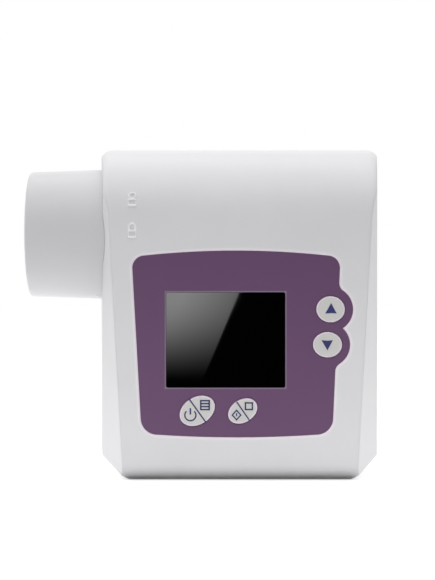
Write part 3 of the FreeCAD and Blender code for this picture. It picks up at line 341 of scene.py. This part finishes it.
FINISHES = {
    "casing_abs": casing_abs, "tube_abs": tube_abs, "liner_abs": liner_abs, "panel_print": film,
    "window_lens": lens, "key_plastic": key_plastic, "switch_plastic": switch_plastic,
    "screw_steel": screw_steel, "circuit_board": board, "display_holder": holder_abs,
    "display_glass": display, "socket_metal": socket_metal, "battery_foil": battery_foil,
    "clear_tube": clear, "lamp_resin": lamp_resin, "swirler_plastic": swirler_plastic,
    "bearing_stone": ruby, "shaft_steel": shaft_steel, "vane_plastic": vane_plastic,
}
for part in frame["record"]["subparts"]:
    for holder in frame["nodes"][part["node"]].material_slots:
        holder.material = FINISHES[part["material_slot"]]

# Pad-printed blue ink of the signs on the keys, a thin raised layer with a soft sheen

INK_GRAIN = 0.3 * MM

ink_blue, tree = new_material("pad_printed_blue_ink")
place = add(tree, "ShaderNodeTexCoord").outputs["Object"]
cover = add(tree, "ShaderNodeTexNoise", {"Vector": place, "Scale": 1 / INK_GRAIN, "Detail": 2})
shade = add(tree, "ShaderNodeMix", {FACTOR: cover, FIRST: "#191B58", SECOND: "#24276A"},
            data_type="RGBA").outputs[RESULT]
surface = add(tree, "ShaderNodeBsdfPrincipled", {"Base Color": shade, "Roughness": 0.5})
add(tree, "ShaderNodeOutputMaterial", {"Surface": surface})

# Modelling steps


def select_nothing():
    if bpy.context.object and bpy.context.object.mode != "OBJECT":
        bpy.ops.object.mode_set(mode="OBJECT")
    bpy.ops.object.select_all(action="DESELECT")


def pick(piece):
    """Makes a piece the only selected and the active one."""
    select_nothing()
    piece.select_set(True)
    bpy.context.view_layer.objects.active = piece


def settle(piece):
    """Puts the piece's place, turn and scale into its mesh."""
    pick(piece)
    bpy.ops.object.transform_apply(location=True, rotation=True, scale=True)
    return piece


def join(name, pieces, material):
    """Makes one named piece of several, in one material."""
    pick(pieces[0])
    for piece in pieces:
        piece.select_set(True)
    if len(pieces) > 1:
        bpy.ops.object.join()
    joined = bpy.context.object
    joined.name = name
    joined.data.name = name
    joined.data.materials.clear()
    joined.data.materials.append(material)
    return joined


def round_edges(piece, width, segments):
    """Rounds all edges with a bevel and applies it."""
    pick(piece)
    modifier = piece.modifiers.new("rounded", "BEVEL")
    modifier.width = width
    modifier.segments = segments
    bpy.ops.object.modifier_apply(modifier=modifier.name)
    return piece


def delete_faces(piece, chosen):
    """Deletes the faces whose middle passes the test, closes the holes and turns all faces outwards."""
    pick(piece)
    bpy.ops.object.mode_set(mode="EDIT")
    bpy.ops.mesh.select_mode(type="FACE")
    bpy.ops.mesh.select_all(action="DESELECT")
    bpy.ops.object.mode_set(mode="OBJECT")
    for face in piece.data.polygons:
        face.select = chosen(Vector(face.center))
    bpy.ops.object.mode_set(mode="EDIT")
    bpy.ops.mesh.delete(type="FACE")
    bpy.ops.mesh.select_all(action="SELECT")
    bpy.ops.mesh.fill_holes(sides=0)
    bpy.ops.mesh.select_all(action="SELECT")
    bpy.ops.mesh.normals_make_consistent(inside=False)
    bpy.ops.object.mode_set(mode="OBJECT")
    return piece


# Printed signs on the keys. Points are (x, z) in millimetres from the middle of their key.

KEY_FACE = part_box("up_key")[0].y
INK = 0.04 * MM
STROKE = 0.36 * MM
DIVIDER = 0.34 * MM
POWER_BAR = 0.4 * MM
START_DOT = 0.3 * MM
START_LINE = 0.32 * MM
RING_SEGMENTS = 64
STROKE_SEGMENTS = 10


def on_key(key, point):
    """A point of a sign in the frame, in the plane where Y is 0."""
    low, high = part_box(key)
    return Vector(((low.x + high.x) / 2, 0, (low.z + high.z) / 2)) + Vector((point[0], 0, point[1])) * MM


def stroke(key, start, end, width=STROKE):
    """A straight printed stroke between two points, standing on a key."""
    select_nothing()
    start = on_key(key, start)
    end = on_key(key, end)
    along = end - start
    bpy.ops.mesh.primitive_cube_add(size=1, location=(start + end) / 2 + Vector((0, KEY_FACE - INK / 2, 0)))
    made = bpy.context.object
    made.scale = (along.length + width, INK * 2, width)
    lean = along.angle(Vector((1, 0, 0)))
    made.rotation_euler = (0, -lean if along.z >= 0 else lean, 0)
    return settle(made)


def frame_of(key, corners, width=STROKE):
    """Strokes round a closed outline."""
    return [stroke(key, corners[index - 1], corner, width) for index, corner in enumerate(corners)]


def arrowhead(key, points):
    """A filled arrowhead: its two halves meet in the line from the tip to the notch."""
    tip, right, notch, left = [on_key(key, point) for point in points]
    halves = []
    for corner in (right, left):
        select_nothing()
        bpy.ops.mesh.primitive_cylinder_add(vertices=3, radius=1, depth=1, location=(0, 0, 0))
        made = bpy.context.object
        near = [vertex for vertex in made.data.vertices if vertex.co.z < 0]
        far = [vertex for vertex in made.data.vertices if vertex.co.z > 0]
        for point, under, over in zip((tip, corner, notch), near, far):
            under.co = point + Vector((0, KEY_FACE - 1.5 * INK, 0))
            over.co = point + Vector((0, KEY_FACE + 0.5 * INK, 0))
        # no face is deleted: this only turns the faces outwards
        halves.append(delete_faces(made, lambda place: False))
    return halves


def open_ring(key, centre, radius, gap):
    """A flattened ring with a gap at its top, as on a power sign; gap is half its angle in degrees."""
    select_nothing()
    bpy.ops.mesh.primitive_torus_add(major_radius=radius * MM, minor_radius=STROKE / 2,
                                     major_segments=RING_SEGMENTS, minor_segments=STROKE_SEGMENTS,
                                     rotation=(pi / 2, 0, 0))
    ring = settle(bpy.context.object)
    slope = tan(radians(gap))
    made = delete_faces(ring, lambda place: place.z > 0 and abs(place.x) < place.z * slope)
    made.scale = (1, 2 * INK / STROKE, 1)
    made.location = on_key(key, centre) + Vector((0, KEY_FACE - INK / 2, 0))
    return settle(made)


def menu_sign(key):
    """A square of ruled lines, as for a list."""
    left, right, base, top = 0.94, 3.16, 0.36, 2.69
    rows = [base + (top - base) * step / 3 for step in (1, 2)]
    return (frame_of(key, [(left, base), (right, base), (right, top), (left, top)])
            + [stroke(key, (left, row), (right, row)) for row in rows])


power_sign = join("power_menu_sign", [
    stroke("power_key", (-2.07, 3.05), (2.15, -2.85), DIVIDER),
    open_ring("power_key", (-1.81, -1.13), 1.46, 46),
    stroke("power_key", (-1.81, 0.5), (-1.81, -0.75), POWER_BAR),
] + menu_sign("power_key"), ink_blue)
DIAMOND = [(-1.62, 0.2), (-0.5, -1.04), (-1.62, -2.28), (-2.74, -1.04)]
SQUARE = [(0.72, 0.42), (2.54, 0.42), (2.54, 2.16), (0.72, 2.16)]
start_sign = join("start_stop_sign", [
    stroke("start_key", (-1.5, 2.3), (1.75, -2.4), DIVIDER),
    stroke("start_key", (-1.6, -0.7), (-1.6, -1.2), START_DOT),
] + frame_of("start_key", DIAMOND, START_LINE) + frame_of("start_key", SQUARE), ink_blue)
UP_ARROW = [(0.14, 1.64), (1.6, -1.1), (0.14, -1.0), (-1.42, -1.1)]
DOWN_ARROW = [(-0.05, -1.48), (1.4, 1.2), (-0.05, 1.06), (-1.6, 1.2)]
up_sign = join("up_sign", arrowhead("up_key", UP_ARROW), ink_blue)
down_sign = join("down_sign", arrowhead("down_key", DOWN_ARROW), ink_blue)
for sign, body in ((power_sign, "power_button"), (start_sign, "start_button"), (up_sign, "up_button"),
                   (down_sign, "down_button")):
    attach(sign, body)

# Raised padlock marks beside the tube, moulded in the casing: open above, closed below

LOCK_ACROSS = -18.8 * MM
LOCK_WIDE = 2.15 * MM
LOCK_TALL = 2.15 * MM
RIB = 0.55 * MM
TOP_RIB = 0.45 * MM
RIB_EDGE = 0.2 * MM
RELIEF = 0.4 * MM
SIDE_RIB = 0.22 * MM
SIDE_EDGE = 0.05 * MM
SIDE_RELIEF = 0.06 * MM
EDGE_SEGMENTS = 3
SUNK = 0.4 * MM
BOW_THICK = 0.52 * MM
BOW_RADIUS = (LOCK_WIDE - BOW_THICK) / 2
BOW_RISE = 0.86 * MM
BOW_SEGMENTS = 48
BOW_SIDES = 12
LEG_SIDES = 16
OPEN_BOW_FLAT = 0.92
OPEN_BOW_LEAN = radians(-20)
OPEN_LOCK_TURN = radians(17)
OPEN_LOCK_DROP = 0.2 * MM
CLOSED_LOCK_FOOT = 64.2 * MM


def rib(left, right, base, top, relief=RELIEF, edge=RIB_EDGE):
    """A pillow-edged rib that stands out of the plane where Y is 0."""
    select_nothing()
    middle = ((left + right) / 2, (SUNK - relief) / 2, (base + top) / 2)
    bpy.ops.mesh.primitive_cube_add(size=1, location=middle)
    made = bpy.context.object
    made.scale = (right - left, relief + SUNK, top - base)
    return round_edges(settle(made), edge, EDGE_SEGMENTS)


def lock_body():
    """The padlock's body as a raised outline with its foot at height 0; its sides are the lowest."""
    left = LOCK_ACROSS - LOCK_WIDE / 2
    right = LOCK_ACROSS + LOCK_WIDE / 2
    return [rib(left, right, 0, RIB),
            rib(left, right, LOCK_TALL - TOP_RIB, LOCK_TALL),
            rib(left, left + SIDE_RIB, 0, LOCK_TALL, SIDE_RELIEF, SIDE_EDGE),
            rib(right - SIDE_RIB, right, 0, LOCK_TALL, SIDE_RELIEF, SIDE_EDGE)]


def lock_ring(height, flat=1.0, lean=0.0):
    """A round rib, half out of the plane; flat squeezes it in height and lean turns it."""
    select_nothing()
    bpy.ops.mesh.primitive_torus_add(major_radius=BOW_RADIUS, minor_radius=BOW_THICK / 2,
                                     major_segments=BOW_SEGMENTS, minor_segments=BOW_SIDES,
                                     rotation=(pi / 2, 0, 0))
    ring = settle(bpy.context.object)
    ring.scale = (1, 1, flat)
    ring.rotation_euler = (0, lean, 0)
    ring.location = (LOCK_ACROSS, 0, height)
    return settle(ring)


def lock_leg(side):
    """A leg of the bow, from inside the body up to the bow's round part."""
    select_nothing()
    middle = LOCK_TALL + (BOW_RISE - RIB / 2) / 2
    bpy.ops.mesh.primitive_cylinder_add(vertices=LEG_SIDES, radius=BOW_THICK / 2, depth=BOW_RISE + RIB / 2,
                                        location=(LOCK_ACROSS + side * BOW_RADIUS, 0, middle))
    return settle(bpy.context.object)


def place_mark(mark, rise, turn):
    """Puts a mark on the casing: up the flat front, or round the barrel by an angle."""
    mark.matrix_world = (Matrix.Translation((0, 0, BARREL_AXIS)) @ Matrix.Rotation(-turn, 4, "X")
                         @ Matrix.Translation((0, -BARREL_RADIUS, rise - BARREL_AXIS)))
    settle(mark)
    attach(mark, "casing")


arch = delete_faces(lock_ring(0), lambda place: place.z < 0)
arch.location = (0, 0, LOCK_TALL + BOW_RISE)
closed_mark = join("lock_mark", lock_body() + [settle(arch), lock_leg(-1), lock_leg(1)], mark_abs_painted_paler)
open_bow = lock_ring(LOCK_TALL + BOW_RISE, OPEN_BOW_FLAT, OPEN_BOW_LEAN)
open_mark = join("unlock_mark", lock_body() + [open_bow], mark_abs_painted_paler)
place_mark(closed_mark, CLOSED_LOCK_FOOT, 0)
place_mark(open_mark, BARREL_AXIS - (LOCK_TALL + BOW_RISE) / 2 - OPEN_LOCK_DROP, OPEN_LOCK_TURN)

# Studio floor: plain white to the eye and in reflections, with the object's shadow. What else the
# object gets from it is painted light and shade: its colour is black at the object's foot as a painted
# shadow, brightest close round it as a painted pool of light, and dim far away, and it glows there too.

FLOOR_SIZE = 8
FLOOR_GLOW_ON_OBJECT = 0.33
GLOW = 0.56
FOOT_EDGE = 4 * MM
POOL_START = 30 * MM
POOL_END = 240 * MM
POOL_REST = 0.25
# the lower corners round off, so the flat of the base ends this far inside the casing's ends
CORNER = Vector((8.6 * MM, 0, 0))

floor_material, tree = new_material("pale_studio_floor")
ray = add(tree, "ShaderNodeLightPath")
seen = add(tree, "ShaderNodeMath", {0: ray.outputs["Is Camera Ray"], 1: ray.outputs["Is Glossy Ray"]},
           operation="MAXIMUM")
seen = add(tree, "ShaderNodeMath", {0: seen, 1: ray.outputs["Is Transmission Ray"]}, operation="MAXIMUM")
away = beyond_box(tree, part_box("front_shell")[0] + CORNER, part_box("rear_shell")[1] - CORNER, "XY")
# painted shadow: the floor is black at the object's foot
foot = add(tree, "ShaderNodeMapRange", {"Value": away, "From Min": 0, "From Max": FOOT_EDGE})
# painted pool of light: brightest close round the object, dimmer far away
painted_light_pool = add(tree, "ShaderNodeMapRange", {"Value": away, "From Min": POOL_START, "From Max": POOL_END,
                                        "To Min": 1, "To Max": POOL_REST})
painted_floor_light = add(tree, "ShaderNodeMath", {0: foot, 1: painted_light_pool}, operation="MULTIPLY")
painted_floor_colour = add(tree, "ShaderNodeMix", {FACTOR: painted_floor_light, FIRST: "#000000", SECOND: "#F6F6F6"},
           data_type="RGBA").outputs[RESULT]
floor_with_painted_light = add(tree, "ShaderNodeBsdfDiffuse", {"Color": painted_floor_colour})
# painted light: the floor also glows onto the object where its colour is bright
floor_glow_strength = add(tree, "ShaderNodeMath", {0: painted_floor_light, 1: FLOOR_GLOW_ON_OBJECT}, operation="MULTIPLY")
floor_glow = add(tree, "ShaderNodeEmission", {"Color": WHITE, "Strength": floor_glow_strength})
floor_with_painted_light = add(tree, "ShaderNodeAddShader", {0: floor_with_painted_light, 1: floor_glow})
shadowed = add(tree, "ShaderNodeBsdfDiffuse", {"Color": "#D8D8D8"})
glow = add(tree, "ShaderNodeEmission", {"Color": WHITE, "Strength": GLOW})
bright = add(tree, "ShaderNodeAddShader", {0: shadowed, 1: glow})
surface = add(tree, "ShaderNodeMixShader", {0: seen, 1: floor_with_painted_light, 2: bright})
add(tree, "ShaderNodeOutputMaterial", {"Surface": surface})

select_nothing()
bpy.ops.mesh.primitive_plane_add(size=FLOOR_SIZE, location=(0, 0, 0))
floor = bpy.context.object
floor.name = "studio_floor"
floor.data.materials.append(floor_material)
settle(floor)

# Room: dark behind the camera and paler behind the object, bright overhead, and plain white to the
# eye and in reflections

WALL_NEAR = 0.14
WALL_FAR = 0.45
WALL_TURN = 0.6
OVERHEAD = 0.86
SKY_START = 0.15
SKY_END = 0.95

world = bpy.data.worlds.new("soft_studio")
bpy.context.scene.world = world
world.use_nodes = True
tree = world.node_tree
tree.nodes.clear()
ray = add(tree, "ShaderNodeLightPath")
seen = add(tree, "ShaderNodeMath", {0: ray.outputs["Is Camera Ray"], 1: ray.outputs["Is Glossy Ray"]},
           operation="MAXIMUM")
seen = add(tree, "ShaderNodeMath", {0: seen, 1: ray.outputs["Is Transmission Ray"]}, operation="MAXIMUM")
direction = add(tree, "ShaderNodeTexCoord").outputs["Generated"]
way = add(tree, "ShaderNodeSeparateXYZ", {"Vector": direction})
wall = add(tree, "ShaderNodeMapRange", {"Value": way.outputs["Y"], "From Min": -1, "From Max": WALL_TURN,
                                        "To Min": WALL_NEAR, "To Max": WALL_FAR})
sky = add(tree, "ShaderNodeMapRange", {"Value": way.outputs["Z"], "From Min": SKY_START,
                                       "From Max": SKY_END, "To Min": wall, "To Max": OVERHEAD})
room = add(tree, "ShaderNodeBackground", {"Color": WHITE, "Strength": sky})
white = add(tree, "ShaderNodeBackground", {"Color": WHITE, "Strength": 1})
surface = add(tree, "ShaderNodeMixShader", {0: seen, 1: room, 2: white})
add(tree, "ShaderNodeOutputWorld", {"Surface": surface})

# Lamps


def softbox(name, at, towards, width, tall, power):
    """An area lamp of a size in metres, turned to a point."""
    light = bpy.data.lights.new(name, "AREA")
    light.shape = "RECTANGLE"
    light.size = width
    light.size_y = tall
    light.energy = power
    lamp = bpy.data.objects.new(name, light)
    bpy.context.scene.collection.objects.link(lamp)
    lamp.location = at
    lamp.rotation_euler = (Vector(towards) - Vector(at)).to_track_quat("-Z", "Y").to_euler()


softbox("overhead_softbox", (-0.05, -0.1, 0.7), (0, -0.05, 0), 0.9, 0.8, 2.35)
softbox("left_softbox", (-0.9, -0.1, 0.35), (0, 0, 0.05), 0.8, 0.8, 1.5)
softbox("right_softbox", (0.9, 0, 0.35), (0, 0, 0.05), 0.8, 0.8, 0.75)

# A dark card in front of the window, with one bright corner, makes the slanted glare on the lens.
# It works as a photographer's flag does, and only reflections see it.

CARD_PLACE = (7 * MM, -350 * MM, 31 * MM)
CARD_WIDE = 80 * MM
CARD_TALL = 62 * MM
# the bright corner's slanted edge runs through these two points, as x and z
SLANT_FOOT = (-4.64 * MM, 4.64 * MM)
SLANT_TOP = (14.25 * MM, 49.5 * MM)
SLANT_BLUR = 0.4 * MM
SPREAD_WIDE = 26 * MM
FADE_FOOT = 7 * MM
FADE_TOP = 49 * MM
GLARE = 5.6

card_material, tree = new_material("graded_reflector_card")
place = add(tree, "ShaderNodeTexCoord").outputs["Object"]
where = add(tree, "ShaderNodeSeparateXYZ", {"Vector": place})
slant = add(tree, "ShaderNodeMapRange", {"Value": where.outputs["Z"], "From Min": SLANT_FOOT[1],
                                         "From Max": SLANT_TOP[1], "To Min": SLANT_FOOT[0],
                                         "To Max": SLANT_TOP[0]}, clamp=False)
inside = add(tree, "ShaderNodeMath", {0: slant, 1: where.outputs["X"]}, operation="SUBTRACT")
lit = add(tree, "ShaderNodeMapRange", {"Value": inside, "From Min": 0, "From Max": SLANT_BLUR})
spread = add(tree, "ShaderNodeMapRange", {"Value": inside, "From Min": 0, "From Max": SPREAD_WIDE,
                                          "To Min": 0.5, "To Max": 1})
fade = add(tree, "ShaderNodeMapRange", {"Value": where.outputs["Z"], "From Min": FADE_FOOT,
                                        "From Max": FADE_TOP}, interpolation_type="SMOOTHSTEP")
light = add(tree, "ShaderNodeMath", {0: fade, 1: lit}, operation="MULTIPLY")
light = add(tree, "ShaderNodeMath", {0: light, 1: spread}, operation="MULTIPLY")
light = add(tree, "ShaderNodeMath", {0: light, 1: GLARE}, operation="MULTIPLY")
surface = add(tree, "ShaderNodeEmission", {"Color": WHITE, "Strength": light})
add(tree, "ShaderNodeOutputMaterial", {"Surface": surface})

select_nothing()
bpy.ops.mesh.primitive_plane_add(size=1, location=CARD_PLACE, rotation=(pi / 2, 0, 0))
card = bpy.context.object
card.name = "reflector_card"
card.scale = (CARD_WIDE, CARD_TALL, 1)
settle(card)
card.data.materials.append(card_material)
card.visible_camera = False
card.visible_diffuse = False
card.visible_shadow = False
card.visible_transmission = False

# Camera: level, square on, at the height of the window's upper edge

CAMERA_PLACE = (3.75 * MM, -450 * MM, 50.4 * MM)
SENSOR = 36
FOCAL_LENGTH = 100.83

view = bpy.data.cameras.new("front_view")
view.sensor_fit = "VERTICAL"
view.sensor_height = SENSOR
view.sensor_width = SENSOR
view.lens = FOCAL_LENGTH
view.clip_start = 0.01
view.clip_end = 20
camera = bpy.data.objects.new("front_view", view)
bpy.context.scene.collection.objects.link(camera)
camera.location = CAMERA_PLACE
camera.rotation_euler = (pi / 2, 0, 0)
bpy.context.scene.camera = camera
bpy.context.scene.view_settings.view_transform = "Standard"

select_nothing()
